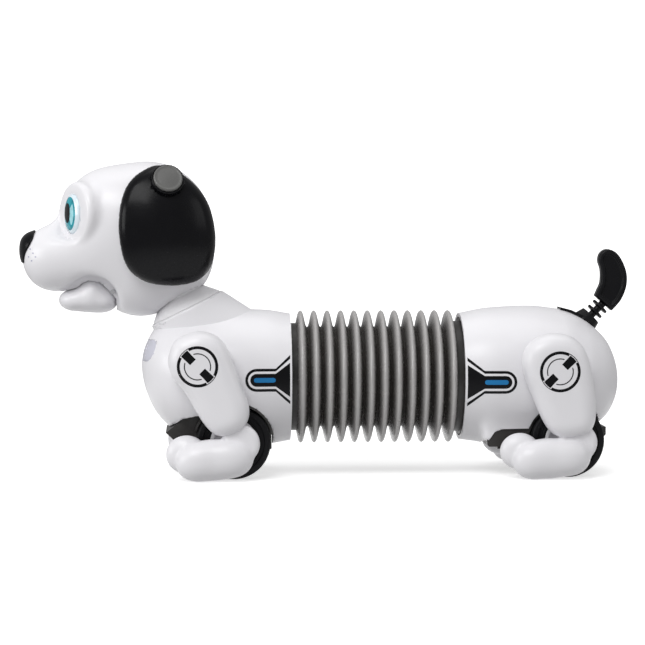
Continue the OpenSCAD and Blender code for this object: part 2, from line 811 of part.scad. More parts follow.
// The inner plate of a leg with its boss, moulded in one piece with the paw.
module foot(side, pivot, top, end, heel, sole, toe) {
    inner_y = 31.6;
    color("white") on_side(side) {
        difference() {
            union() {
                leg_slab(top, leg_top_r, end, leg_end_r, leg_inner_y, leg_inner_y + 1.6, 0.2, $fn = 40);
                ycyl(pivot, leg_shaft_r + 2.2, -42.2, -leg_inner_y);
            }
            ycyl(pivot, leg_shaft_r + running_play, -50, -30);
        }
        hull() {
            ycyl(end, leg_end_r - 4, -leg_inner_y - 1.6, -leg_inner_y);
            ycyl([heel[0] - 1, heel[1]], 5.5, -leg_inner_y - 1.6, -leg_inner_y);
        }
        hull() for (p = [heel, sole, toe], y = [-inner_y - p[2] * 0.72, -leg_outer_y - 0.4 + p[2] * 0.72])
            ellipsoid([p[0], y, p[1]], [p[2], p[2] * 0.72, p[2]], 16);
        hull() {
            ellipsoid([toe[0] + 1, -37, toe[1] + 2.4], [5.5, 5, 5.6], 16);
            ellipsoid([toe[0] - 7.3, -36.6, toe[1] + 2], [5.3, 4.9, 5.3], 16);
        }
        hull() {
            ellipsoid([toe[0] - 1, -34.3, toe[1] + 2.6], [4.2, 4, 4.6], 16);
            ellipsoid([toe[0] - 7.2, -32.2, toe[1] + 1.8], [4.2, 3.7, 4.8], 16);
        }
    }
}

module front_leg(side) {
    leg(side, front_leg_pivot, front_leg_top, front_leg_end);
}

module front_foot(side) {
    foot(side, front_leg_pivot, front_leg_top, front_leg_end, [-45, 11.8, 8.8], [-58, 9.9, 8.6], [-65.6, 9.4, 8]);
}

module hind_leg(side) {
    leg(side, hind_leg_pivot, hind_leg_top, hind_leg_end);
}

module hind_foot(side) {
    foot(side, hind_leg_pivot, hind_leg_top, hind_leg_end, [118.6, 11.6, 8.8], [104.5, 9.9, 8.5], [97.4, 9.8, 7.6]);
}

// ---------- nodes ----------

front_shell(left);  // front_shell_left
front_shell(right);  // front_shell_right
front_chassis();
chest_lens();
front_bulkhead();
neck_collar();
neck_post();
leg_shaft(front_leg_pivot);  // front_leg_shaft
front_gearbox();
drive_motor();
speaker();
circuit_board();
front_screws();
stretch_rack();
bellows();
front_axle_and_gear();
hubs(front_wheel);  // front_hubs
tyres(front_wheel);  // front_tyres
drive_idler_gear();
drive_motor_pinion();
rear_shell(left);  // rear_shell_left
rear_shell(right);  // rear_shell_right
rear_chassis();
rear_bulkhead();
leg_shaft(hind_leg_pivot);  // rear_leg_shaft
rear_gearbox();
stretch_motor();
batteries();
battery_contacts();
tail_base();
rear_screws();
rear_axle();
hubs(hind_wheel);  // rear_hubs
tyres(hind_wheel);  // rear_tyres
stretch_pinion();
battery_door();
battery_door_screw();
power_switch();
tail();
head_shell(left);  // head_shell_left
head_shell(right);  // head_shell_right
nose();
eye_lenses();
eye_irises();
ear_bosses();
ear_switches();
jaw_pin();
jaw();
ear(left);  // ear_left
ear(right);  // ear_right
ear_button(left);  // ear_button_left
ear_button(right);  // ear_button_right
front_leg(left);  // front_left_leg
front_foot(left);  // front_left_foot
front_leg(right);  // front_right_leg
front_foot(right);  // front_right_foot
hind_leg(left);  // hind_left_leg
hind_foot(left);  // hind_left_foot
hind_leg(right);  // hind_right_leg
hind_foot(right);  // hind_right_foot
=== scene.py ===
import math

import bmesh
import bpy
import numpy as np
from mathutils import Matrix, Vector
from mathutils.geometry import delaunay_2d_cdt


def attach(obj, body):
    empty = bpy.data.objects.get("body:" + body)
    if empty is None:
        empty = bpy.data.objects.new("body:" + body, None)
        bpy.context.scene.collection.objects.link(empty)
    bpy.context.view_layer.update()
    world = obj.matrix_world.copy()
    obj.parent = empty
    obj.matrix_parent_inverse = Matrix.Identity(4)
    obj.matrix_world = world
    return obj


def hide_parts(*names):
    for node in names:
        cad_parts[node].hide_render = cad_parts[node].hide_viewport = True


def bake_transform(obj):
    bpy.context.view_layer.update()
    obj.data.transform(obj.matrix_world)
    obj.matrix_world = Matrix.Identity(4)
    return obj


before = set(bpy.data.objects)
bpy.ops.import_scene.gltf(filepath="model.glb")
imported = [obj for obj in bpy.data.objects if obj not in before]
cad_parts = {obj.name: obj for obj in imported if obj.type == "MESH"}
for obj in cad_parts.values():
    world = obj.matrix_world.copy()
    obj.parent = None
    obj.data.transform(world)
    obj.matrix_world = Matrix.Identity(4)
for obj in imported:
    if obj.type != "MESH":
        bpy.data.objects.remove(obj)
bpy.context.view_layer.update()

# Shapes are worked out in millimetres in the model's frame:
# the nose points to -X, the left side is -Y, and the floor is Z = 0.
MM = 0.001
BODY_Z = 48.0
SEAM_HALF = 0.06
WALL = 2.0
UP = np.array([0, 0, 1.0])

# ---------------------------------------------------------------- materials


def material(name, colour, rough, tint=0.03, patch=25.0, grain=900.0, relief=0.00002, spread=0.05,
             crest=None, **sockets):
    """Moulded plastic, rubber or metal: mottled colour, uneven roughness and a fine relief.

    All of it is placed by object coordinates. With a colour of painted shade for creases, a point attribute
    blends from that painted shade at 0 to the main colour at 1.
    """
    look = bpy.data.materials.new(name)
    look.use_nodes = True
    nodes, link = look.node_tree.nodes, look.node_tree.links.new
    shader = nodes["Principled BSDF"]
    for key, value in sockets.items():
        shader.inputs[key.replace("_", " ")].default_value = value
    place = nodes.new("ShaderNodeTexCoord").outputs["Object"]

    def noise(scale, detail):
        texture = nodes.new("ShaderNodeTexNoise")
        texture.inputs["Scale"].default_value = scale
        texture.inputs["Detail"].default_value = detail
        link(place, texture.inputs["Vector"])
        return texture.outputs["Fac"]

    def mixed(factor, a, b):
        mix = nodes.new("ShaderNodeMix")
        mix.data_type = "RGBA"
        link(factor, mix.inputs[0])
        for socket, value in ((mix.inputs[6], a), (mix.inputs[7], b)):
            if isinstance(value, bpy.types.NodeSocket):
                link(value, socket)
            else:
                socket.default_value = (*value, 1)
        return mix.outputs[2]

    def ranged(value, low, high, source=(0.3, 0.7)):
        ramp = nodes.new("ShaderNodeMapRange")
        ramp.inputs["From Min"].default_value, ramp.inputs["From Max"].default_value = source
        ramp.inputs["To Min"].default_value, ramp.inputs["To Max"].default_value = low, high
        link(value, ramp.inputs["Value"])
        return ramp.outputs["Result"]

    darker = [max(0.0, c * (1 - tint)) for c in colour]
    lighter = [min(1.0, c * (1 + tint)) for c in colour]
    painted = mixed(ranged(noise(patch, 4), 0, 1), darker, lighter)
    # Painted shade: the crease colour darkens the base wherever the point attribute is low.
    if crest is not None:
        height = nodes.new("ShaderNodeAttribute")
        height.attribute_name = "crest"
        painted = mixed(height.outputs["Fac"], crest, painted)
    link(painted, shader.inputs["Base Color"])
    link(ranged(noise(patch * 6, 5), rough - spread, rough + spread), shader.inputs["Roughness"])
    bump = nodes.new("ShaderNodeBump")
    bump.inputs["Distance"].default_value = relief
    link(noise(grain, 3), bump.inputs["Height"])
    link(bump.outputs["Normal"], shader.inputs["Normal"])
    return look


looks = {
    "white_casing": material("white_casing_plastic", (0.77, 0.762, 0.788), 0.34, tint=0.012,
                             grain=1400, relief=0.000012, Coat_Weight=0.12, Coat_Roughness=0.2,
                             Specular_IOR_Level=0.4),
    "pale_grey_plastic": material("pale_grey_plastic", (0.77, 0.765, 0.785), 0.42, grain=1500),
    "dark_grey_plastic": material("dark_grey_plastic", (0.030, 0.028, 0.027), 0.38, tint=0.12, grain=1800,
                                  relief=0.00003, Specular_IOR_Level=0.3),
    "black_plastic": material("black_gloss_plastic", (0.0035, 0.0035, 0.0045), 0.27, tint=0.2, grain=700,
                              relief=0.000006, Coat_Weight=0.05, Coat_Roughness=0.15, Specular_IOR_Level=0.1),
    "button_grey": material("button_plastic", (0.105, 0.105, 0.102), 0.38, tint=0.05, grain=1700,
                            relief=0.00003),
    "chest_lens": material("lens_plastic", (0.80, 0.80, 0.90), 0.22, tint=0.02,
                           Transmission_Weight=0.35, IOR=1.46, Coat_Weight=0.4),
    # The bellows carry painted shade: near-black in the valleys between the ridges, grey at the crests.
    "bellows_grey": material("bellows_plastic", (0.37, 0.36, 0.355), 0.26, relief=0.000004,
                             crest=(0.055, 0.050, 0.046), Specular_IOR_Level=0.7),
    "rubber_black": material("tail_rubber", (0.004, 0.004, 0.005), 0.36, tint=0.2, grain=1500, relief=0.00003,
                             Specular_IOR_Level=0.15),
    "tyre_rubber": material("tyre_rubber", (0.005, 0.005, 0.006), 0.5, tint=0.2, grain=1300, relief=0.00006,
                            Specular_IOR_Level=0.12),
    "gear_plastic": material("gear_plastic", (0.78, 0.75, 0.66), 0.4, grain=1500),
    "steel": material("brushed_steel", (0.55, 0.55, 0.57), 0.3, tint=0.08, grain=2500, Metallic=1.0),
    "board_green": material("board_lacquer", (0.02, 0.13, 0.05), 0.3, tint=0.15, grain=1200, Coat_Weight=0.3),
    "cell_wrap": material("cell_wrap", (0.62, 0.27, 0.04), 0.3, tint=0.06, Coat_Weight=0.3),
    "eye_lens": material("eye_white", (0.70, 0.80, 0.86), 0.12, tint=0.02, relief=0.000002, spread=0.03,
                         Coat_Weight=0.7, Coat_Roughness=0.05),
}
print_black = material("print_black", (0.004, 0.004, 0.005), 0.35, tint=0.15, relief=0.000008,
                       Specular_IOR_Level=0.1)
print_blue = material("print_blue", (0.008, 0.17, 0.42), 0.3, tint=0.08, relief=0.000008,
                      Specular_IOR_Level=0.3)
# Painted shade for the whisker pits on the muzzle, which are not cut.
whisker_pit_shade = material("whisker_pit_shade", (0.42, 0.42, 0.52), 0.4, tint=0.05)
iris_teal = material("iris_teal", (0.01, 0.27, 0.33), 0.14, tint=0.35, patch=420.0, relief=0.000004,
                     Coat_Weight=0.2, Coat_Roughness=0.05)
iris_pale = material("iris_pale", (0.33, 0.66, 0.72), 0.14, tint=0.2, patch=420.0, relief=0.000004,
                     Coat_Weight=0.7, Coat_Roughness=0.05)
pupil_black = material("pupil_black", (0.003, 0.003, 0.004), 0.12, relief=0.000003, Specular_IOR_Level=0.2)

# ---------------------------------------------------------------- meshes


def piece(name, points, faces, body, slot, replaces=(), look=None, sharp=38):
    """A mesh object from points in millimetres, riding on a body."""
    mesh = bpy.data.meshes.new(name)
    mesh.from_pydata((np.asarray(points, float) * MM).tolist(), [], [[int(i) for i in f] for f in faces])
    mesh.shade_smooth()
    mesh.set_sharp_from_angle(angle=math.radians(sharp))
    mesh.materials.append(look or looks[slot])
    made = bpy.data.objects.new(name, mesh)
    bpy.context.scene.collection.objects.link(made)
    if body:
        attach(made, body)
    if replaces:
        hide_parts(*replaces)
    return made


def mirrored(points, faces):
    points = np.array(points, float)
    points[:, 1] *= -1
    return points, [list(f)[::-1] for f in faces]


def both_sides(points, faces, names, bodies, slot, replaces=((), ()), **more):
    """The left piece and its mirror image."""
    piece(names[0], points, faces, bodies[0], slot, replaces[0], **more)
    piece(names[1], *mirrored(points, faces), bodies[1], slot, replaces[1], **more)


def joined(*meshes):
    points, faces, start = [], [], 0
    for p, f in meshes:
        points.append(np.asarray(p, float))
        faces += [[i + start for i in face] for face in f]
        start += len(p)
    return np.concatenate(points), faces


def paired(mesh):
    """A left-hand mesh and its mirror image as one mesh."""
    return joined(mesh, mirrored(*mesh))


def curve(xs, ys):
    """A smooth curve through points that doesn't overshoot, run on straight past both ends."""
    xs, ys = np.array(xs, float), np.array(ys, float)
    step = np.diff(xs)
    rise = np.diff(ys) / step
    slope = np.zeros(len(xs))
    same = rise[:-1] * rise[1:] > 0
    slope[1:-1][same] = 2 * (rise[:-1] * rise[1:])[same] / (rise[:-1] + rise[1:])[same]
    slope[0], slope[-1] = rise[0], rise[-1]

    def at(x):
        i = np.clip(np.searchsorted(xs, x) - 1, 0, len(step) - 1)
        t = (x - xs[i]) / step[i]
        s = np.clip(t, 0, 1)
        value = ((1 + 2 * s) * (1 - s) ** 2 * ys[i] + s * (1 - s) ** 2 * step[i] * slope[i]
                 + s * s * (3 - 2 * s) * ys[i + 1] + s * s * (s - 1) * step[i] * slope[i + 1])
        return value + (t - s) * step[i] * np.where(t < 0, slope[0], slope[-1])

    return at


def smooth_min(a, b, k):
    h = np.clip(0.5 + 0.5 * (b - a) / k, 0, 1)
    return b * (1 - h) + a * h - k * h * (1 - h)


def smooth_max(a, b, k):
    return -smooth_min(-a, -b, k)


def egg(centre, radii):
    def field(x, y, z):
        d = [(v - c) / r for v, c, r in zip((x, y, z), centre, radii)]
        near = np.sqrt(d[0] ** 2 + d[1] ** 2 + d[2] ** 2)
        steep = np.sqrt((d[0] / radii[0]) ** 2 + (d[1] / radii[1]) ** 2 + (d[2] / radii[2]) ** 2)
        return near * (near - 1) / np.maximum(steep, 1e-6)

    return field


def merged(k, *fields):
    def field(x, y, z):
        whole = fields[0](x, y, z)
        for f in fields[1:]:
            whole = smooth_min(whole, f(x, y, z), k)
        return whole

    return field


def box(*past):
    """Distance to a box, from how far a point is past each of its sides."""
    outside = np.sqrt(sum(np.maximum(v, 0) ** 2 for v in past))
    most = past[0]
    for v in past[1:]:
        most = np.maximum(most, v)
    return outside + np.minimum(most, 0)


def swept(field, pivot, turns):
    """The space that a shape takes as it turns about a Y axis through (x, z), angles in degrees."""
    def whole(x, y, z):
        dx, dz = x - pivot[0], z - pivot[1]
        least = None
        for a in np.radians(turns):
            part = field(pivot[0] + dx * math.cos(a) - dz * math.sin(a), y,
                         pivot[1] + dx * math.sin(a) + dz * math.cos(a))
            least = part if least is None else np.minimum(least, part)
        return least

    return whole


def loop(points, per=6):
    """A rounded closed outline through a few points. A point written twice is a corner."""
    p = [np.array(q, float) for q in points]
    out = []
    for i in range(len(p)):
        a, b, c, d = p[i - 1], p[i], p[(i + 1) % len(p)], p[(i + 2) % len(p)]
        if np.allclose(b, c):
            continue
        for t in np.arange(per) / per:
            out.append(0.5 * (2 * b + (c - a) * t + (2 * a - 5 * b + 4 * c - d) * t * t
                              + (3 * b - a - 3 * c + d) * t ** 3))
    return out


def outline(points):
    """Signed distance in the XZ plane, below zero inside."""
    p = [tuple(map(float, q)) for q in points]

    def field(x, y, z):
        nearest, inside = None, None
        for (ax, az), (bx, bz) in zip(p, p[1:] + p[:1]):
            ex, ez = bx - ax, bz - az
            wx, wz = x - ax, z - az
            t = np.clip((wx * ex + wz * ez) / max(ex * ex + ez * ez, 1e-9), 0, 1)
            far = (wx - ex * t) ** 2 + (wz - ez * t) ** 2
            nearest = far if nearest is None else np.minimum(nearest, far)
            if ez:
                hit = ((az > z) != (bz > z)) & (x < ax + ex * (z - az) / ez)
                inside = hit if inside is None else inside ^ hit
        return np.sqrt(nearest) * np.where(inside, -1.0, 1.0)

    return field


def about(origin, axis):
    """Distance from an axis and height along it, as two functions."""
    n = np.array(axis, float) / np.linalg.norm(axis)

    def along(x, y, z):
        return (x - origin[0]) * n[0] + (y - origin[1]) * n[1] + (z - origin[2]) * n[2]

    def away(x, y, z):
        far = (x - origin[0]) ** 2 + (y - origin[1]) ** 2 + (z - origin[2]) ** 2 - along(x, y, z) ** 2
        return np.sqrt(np.maximum(far, 0))

    return away, along


def skin(parts, low, high, step):
    """The surface of the space where every part is below zero. Its edges are sharp where two parts meet."""
    axes = [np.arange(lo, hi + step, step) for lo, hi in zip(low, high)]
    shape = tuple(len(a) for a in axes)
    grid = axes[0][:, None, None], axes[1][None, :, None], axes[2][None, None, :]
    whole = np.full(shape, -1e9)
    for part in parts:
        whole = np.maximum(whole, part(*grid))
    inside = whole < 0
    n = [s - 1 for s in shape]

    def cut(a, c):
        return a[c[0]:c[0] + n[0], c[1]:c[1] + n[1], c[2]:c[2] + n[2]]

    corners = [(i, j, k) for i in (0, 1) for j in (0, 1) for k in (0, 1)]
    count = sum(cut(inside, c).astype(np.int8) for c in corners)
    active = (count > 0) & (count < 8)
    cells = np.argwhere(active)
    index = np.full(n, -1)
    index[active] = np.arange(len(cells))
    total, hits = np.zeros((len(cells), 3)), np.zeros(len(cells))
    for a in range(3):
        for c in corners:
            if c[a]:
                continue
            other = tuple(1 if i == a else v for i, v in enumerate(c))
            one, two = cut(whole, c)[active], cut(whole, other)[active]
            crosses = (one < 0) != (two < 0)
            share = np.where(crosses, one / np.where(crosses, one - two, 1), 0)
            spot = np.tile(np.array(c, float), (len(cells), 1))
            spot[:, a] += share
            total[crosses] += spot[crosses]
            hits[crosses] += 1
    p = np.array(low) + step * (cells + total / hits[:, None])
    for _ in range(4):
        values = np.array([part(*p.T) for part in parts])
        used = values > values.max(0) - 0.38 * step
        square = np.tile(np.eye(3) * 1e-3, (len(p), 1, 1))
        pull = np.zeros((len(p), 3))
        for part, value, on in zip(parts, values, used):
            if not on.any():
                continue
            q = p[on]
            slope = np.stack([(part(*(q + e).T) - part(*(q - e).T)) / 0.02 for e in np.eye(3) * 0.01], 1)
            square[on] += slope[:, :, None] * slope[:, None, :]
            pull[on] -= value[on][:, None] * slope
        move = np.linalg.solve(square, pull[:, :, None])[:, :, 0]
        p += np.clip(move, -0.5 * step, 0.5 * step)
    quads = []
    for a in range(3):
        b, c = (a + 1) % 3, (a + 2) % 3
        one = np.take(inside, range(n[a]), a)
        two = np.take(inside, range(1, n[a] + 1), a)
        g = np.argwhere(one != two)
        g = g[(g[:, b] > 0) & (g[:, b] < n[b]) & (g[:, c] > 0) & (g[:, c] < n[c])]
        outward = one[tuple(g.T)]
        ring = []
        for db, dc in ((0, 0), (-1, 0), (-1, -1), (0, -1)):
            h = g.copy()
            h[:, b] += db
            h[:, c] += dc
            ring.append(index[tuple(h.T)])
        ring = np.stack(ring, 1)
        ring[~outward] = ring[~outward][:, ::-1]
        quads.append(ring)
    return p, np.concatenate(quads).tolist()


def fillet(points, radius, steps=4):
    """Rounds every corner of a closed profile."""
    out = []
    for i, corner in enumerate(points):
        a, p, b = (np.array(v, float) for v in (points[i - 1], corner, points[(i + 1) % len(points)]))
        la, lb = np.linalg.norm(a - p), np.linalg.norm(b - p)
        r = min(radius, la * 0.45, lb * 0.45)
        start, end = p + (a - p) / la * r, p + (b - p) / lb * r
        for t in np.arange(steps + 1) / steps:
            out.append((1 - t) ** 2 * start + 2 * t * (1 - t) * p + t * t * end)
    return out


def lathe(profile, origin, axis, turns=96):
    """A closed profile of (radius, height) turned about an axis. Points at radius zero are welded."""
    up = Vector(axis).normalized()
    side = up.orthogonal().normalized()
    front = up.cross(side)
    base = Vector(origin)
    bm = bmesh.new()
    rings = []
    for r, h in profile:
        centre, far = base + up * float(h), max(0.0, float(r))
        ring = [bm.verts.new(centre + (side * math.cos(a) + front * math.sin(a)) * far)
                for a in (2 * math.pi * k / turns for k in range(turns))]
        rings.append(ring)
    for one, two in zip(rings, rings[1:] + rings[:1]):
        for k in range(turns):
            bm.faces.new((one[k], one[(k + 1) % turns], two[(k + 1) % turns], two[k]))
    bmesh.ops.remove_doubles(bm, verts=bm.verts, dist=1e-4)
    bmesh.ops.dissolve_degenerate(bm, edges=bm.edges, dist=1e-5)
    bmesh.ops.recalc_face_normals(bm, faces=bm.faces)
    bm.verts.index_update()
    points = [tuple(v.co) for v in bm.verts]
    faces = [[v.index for v in f.verts] for f in bm.faces]
    bm.free()
    return points, faces


def drop_on(field, spots, lift, near=-60.0, far=0.0):
    """Points where lines along Y first meet the left side of a surface, lifted off it."""
    x, z = np.array(spots, float).T
    a, b = np.full(len(x), near), np.full(len(x), far)
    for y in np.arange(near, far, 0.5):
        outside = field(x, np.full(len(x), y), z) > 0
        a = np.where(outside & (a >= y - 0.5001), y, a)
    b = a + 0.5
    for _ in range(24):
        middle = (a + b) / 2
        outside = field(x, middle, z) > 0
        a, b = np.where(outside, middle, a), np.where(outside, b, middle)
    p = np.stack([x, (a + b) / 2, z], 1)
    slope = np.stack([(field(*(p + e).T) - field(*(p - e).T)) / 0.02 for e in np.eye(3) * 0.01], 1)
    return p + slope / np.linalg.norm(slope, axis=1)[:, None] * lift


def finer(border, spacing):
    """The same closed loop with points no further apart than the spacing."""
    out = []
    for a, b in zip(border, border[1:] + border[:1]):
        a, b = np.array(a, float), np.array(b, float)
        steps = max(1, math.ceil(np.linalg.norm(b - a) / spacing))
        out += [tuple(a + (b - a) * t) for t in np.arange(steps) / steps]
    return out


def printed(field, borders, spacing=0.9, lift=0.05, thick=0.06):
    """A thin print on the left side of a surface.

    Borders are closed loops of (x, z), and a loop inside a loop is a hole.
    """
    spots, edges = [], []
    borders = [finer(border, spacing) for border in borders]
    for border in borders:
        start = len(spots)
        spots += [tuple(map(float, q)) for q in border]
        edges += [(start + i, start + (i + 1) % len(border)) for i in range(len(border))]
    tests = [outline(border) for border in borders]

    def inside(q):
        q = np.array(q, float)
        signs = [test(q[:, 0], None, q[:, 1]) for test in tests]
        return np.prod(np.sign(signs), axis=0) * (-1) ** (len(tests) + 1), np.min(np.abs(signs), axis=0)

    lo, hi = np.min(spots, 0), np.max(spots, 0)
    extra = [(x, z) for x in np.arange(lo[0], hi[0], spacing) for z in np.arange(lo[1], hi[1], spacing)]
    side, gap = inside(extra)
    spots += [q for q, s, g in zip(extra, side, gap) if s < 0 and g > spacing * 0.45]
    flat, _, faces, *_ = delaunay_2d_cdt([Vector(q) for q in spots], edges, [], 0, 1e-6)
    flat = np.array([tuple(q) for q in flat])
    middles = np.array([flat[list(f)].mean(0) for f in faces])
    side, _ = inside(middles)
    faces = [list(f) for f, s in zip(faces, side) if s < 0]
    used = sorted({i for f in faces for i in f})
    new = {old: i for i, old in enumerate(used)}
    faces = [[new[i] for i in f] for f in faces]
    flat = flat[used]
    top = drop_on(field, flat, lift)
    low = drop_on(field, flat, lift - thick)
    n = len(flat)
    shut = []
    ends = {}
    for f in faces:
        for i, j in zip(f, f[1:] + f[:1]):
            ends[(i, j)] = ends.get((i, j), 0) + 1
    for i, j in ends:
        if (j, i) not in ends:
            shut.append([i, i + n, j + n, j])
    # Faces wind anticlockwise in (x, z), which looks along +Y from the left side.
    under = [[i + n for i in f[::-1]] for f in faces]
    return np.concatenate([top, low]), faces + under + [s[::-1] for s in shut]


def ring_sector(centre, inner, outer, start, end):
    """A closed border of part of a ring, angles in degrees."""
    steps = max(2, int(abs(end - start) / 6))
    angles = np.radians(np.linspace(start, end, steps + 1))
    out = [(centre[0] + outer * math.cos(a), centre[1] + outer * math.sin(a)) for a in angles]
    return out + [(centre[0] + inner * math.cos(a), centre[1] + inner * math.sin(a)) for a in angles[::-1]]


def circle(centre, radius, steps=40):
    return [(centre[0] + radius * math.cos(a), centre[1] + radius * math.sin(a))
            for a in np.arange(steps) * 2 * math.pi / steps]


# ---------------------------------------------------------------- casings

# Cross-sections of the bodies: x, height of the middle, half width, half height.
FRONT_SECTIONS = [(-90.4, 54, 4, 4), (-88, 53, 13.5, 13), (-84, 52, 21, 20.5), (-78, 51, 27, 26.5),
                  (-70, 49.5, 31.5, 31), (-60, 48.5, 33.6, 33.4), (-46, 48, 34, 34), (-30, 48, 33.3, 33.6),
                  (-17, 48, 31.7, 31.7)]
REAR_SECTIONS = [(67.8, 48, 31.7, 31.7), (84, 48.5, 33.6, 34), (102, 48.8, 34, 34.5), (118, 48.5, 33, 33.2),
                 (130, 48, 29.5, 29), (137, 47.5, 25, 24), (142, 47, 19.5, 19), (145.5, 46.5, 13, 12.5),
                 (147.7, 46, 4, 4)]
FRONT_RIM, REAR_RIM = -17.0, 67.8
FRONT_WHEEL, HIND_WHEEL = (-45.4, 18.0), (118.7, 18.0)
ARCH_R, TYRE_R = 19.8, 18.0
INNER_Y, OUTER_Y = 21.5, 29.5


def loft(sections):
    xs, zc, half_w, half_h = (np.array(v, float) for v in zip(*sections))
    centre, wide, high = curve(xs, zc), curve(xs, half_w ** 2), curve(xs, half_h ** 2)

    def field(x, y, z):
        tall, broad = high(x), wide(x)
        ratio = np.clip(tall / np.where(np.abs(broad) < 1e-6, 1e-6, broad), 0.5, 1.5)
        rho = y * y * ratio + (z - centre(x)) ** 2
        lean = (high(x + 0.05) - high(x - 0.05)) / 0.1
        return (rho - tall) / np.sqrt(4 * rho + lean ** 2 + 1)

    return field


front_body, rear_body = loft(FRONT_SECTIONS), loft(REAR_SECTIONS)


def seam(x, y, z):
    return y + SEAM_HALF + 0 * x


def arch(wheel):
    return lambda x, y, z: ARCH_R - np.sqrt((x - wheel[0]) ** 2 + (z - wheel[1]) ** 2)


def chest_slot(x, y, z):
    return np.sqrt(np.maximum(np.abs(y) - 13, 0) ** 2 + (z - 62) ** 2) - 5.3 + np.maximum(x + 70, 0)


front_cut = outline([(-86, 5), (-79.3, 22.2), (-70, 29.3), (-63, 31), (-50, 31), (-50, 5)])
rear_cut = outline([(78.6, 5), (78.6, 15.8), (82.9, 22.2), (86.7, 23.6), (103.4, 23.9), (107.2, 28.5),
                    (112, 28.5), (112, 5)])
BAY_CENTRE, BAY_HALF, BAY_EDGE = (91.2, 0, 27.3), (13.4, 25.6, 10), 2.5


def rear_outside(x, y, z):
    """The rear body, swollen a little over the ends of the battery bay."""
    past = [np.abs(v - c) - (half - BAY_EDGE) for v, c, half in zip((x, y, z), BAY_CENTRE, BAY_HALF)]
    return smooth_min(rear_body(x, y, z), box(*past) - BAY_EDGE, 4)


shell = skin([front_body, lambda x, y, z: -(front_body(x, y, z) + WALL), lambda x, y, z: x - FRONT_RIM, seam,
              lambda x, y, z: -front_cut(x, y, z), arch(FRONT_WHEEL), lambda x, y, z: -chest_slot(x, y, z)],
             (-92, -36, 11), (-15, 2, 84), 0.9)
both_sides(*shell, ("front_casing_left", "front_casing_right"), ("front_body", "front_body"), "white_casing",
           (("front_shell_left",), ("front_shell_right",)))
tail_away, tail_along = about((133.5, 0, 77), (1, 0, 1))
shell = skin([rear_outside, lambda x, y, z: -(rear_body(x, y, z) + WALL), lambda x, y, z: REAR_RIM - x, seam,
              lambda x, y, z: -rear_cut(x, y, z), arch(HIND_WHEEL),
              lambda x, y, z: -np.maximum(tail_away(x, y, z) - 6.8, -8 - tail_along(x, y, z))],
             (66, -36, 11), (150, 2, 85), 0.9)
both_sides(*shell, ("rear_casing_left", "rear_casing_right"), ("rear_body", "rear_body"), "white_casing",
           (("rear_shell_left",), ("rear_shell_right",)))

lens = skin([lambda x, y, z: front_body(x, y, z) + 0.1, lambda x, y, z: -(front_body(x, y, z) + WALL + 0.4),
             lambda x, y, z: chest_slot(x, y, z) + 0.12, lambda x, y, z: x + 72],
            (-92, -20, 55), (-70, 20, 69), 0.6)
piece("chest_light", *lens, "front_body", "chest_lens", ("chest_lens",))

NECK_ORIGIN, NECK_AXIS = (-68, 0, 82.3), (-0.443, 0, 0.8965)
NECK_SIDE = (0.8965, 0, 0.443)
neck_away, neck_along = about(NECK_ORIGIN, NECK_AXIS)
_, neck_aside = about(NECK_ORIGIN, NECK_SIDE)


def collar_outside(x, y, z):
    """A cone round the neck that runs out backwards over the shoulders."""
    down, s = np.clip(-neck_along(x, y, z), 0, 20), neck_aside(x, y, z)
    long, wide = np.where(s > 0, 19.6 + 0.6 * down, 19.7), 19.7 + 0.1 * down
    return (np.sqrt((s / long) ** 2 + (y / wide) ** 2) - 1) * 19.7


collar = skin([lambda x, y, z: smooth_max(collar_outside(x, y, z), neck_along(x, y, z) - 0.3, 0.9),
               lambda x, y, z: 18.9 - neck_away(x, y, z), lambda x, y, z: -0.8 - front_body(x, y, z)],
              (-88, -24, 66), (-34, 24, 94), 0.6)
piece("neck_ring", *collar, "front_body", "white_casing", ("neck_collar",))

# ---------------------------------------------------------------- head

skull = merged(5, egg((-88, 0, 121), (33, 30.5, 34.3)), egg((-104, 0, 126.3), (26.4, 26, 26.6)),
               egg((-91, 0, 104), (25, 23, 25.5)), egg((-78, 0, 108), (23, 22, 23)))
MUZZLE_FRONT, MUZZLE_BACK = ((-134, 0, 107.4), (15.3, 15.5, 16.2)), ((-108, 0, 112), (20, 22, 20))
muzzle = merged(3, *[egg(*(tuple(np.array(a) * (1 - t) + np.array(b) * t)
                           for a, b in zip(MUZZLE_FRONT, MUZZLE_BACK)))
                     for t in (0, 0.25, 0.5, 0.75, 1)])
EYE, EYE_OUT = np.array([-124.3, -15.5, 129.2]), np.array([-0.853, -0.522, 0.0])
EYE_SIDE = np.array([0.522, -0.853, 0.0])
EYE_HALF_W, EYE_HALF_H = 7.5, 9.8
PUCK_R, PUCK_EDGE = 16.0, 4.4
eye_away, eye_out = about(EYE, EYE_OUT)


def eye_side(x, y, z):
    return (x - EYE[0]) * EYE_SIDE[0] + (y - EYE[1]) * EYE_SIDE[1]


def eye_egg(half_w, half_h, deep, shift):
    shape = egg((0, 0, 0), (half_w, half_h, deep))
    return lambda x, y, z: shape(eye_side(x, y, z), z - EYE[2], eye_out(x, y, z) - shift)


def puck(x, y, z):
    """The raised round around the eye."""
    return box(eye_away(x, y, z) - (PUCK_R - PUCK_EDGE), eye_out(x, y, z) + PUCK_EDGE) - PUCK_EDGE


HINGE = (-104.5, 91)
jaw = merged(4, egg((-122.8, 0, 86.6), (8.8, 9.2, 5.7)), egg((-114.5, 0, 89.6), (8.3, 11.5, 9.2)),
             egg((-108.5, 0, 86.9), (6.2, 10.4, 6.2)))


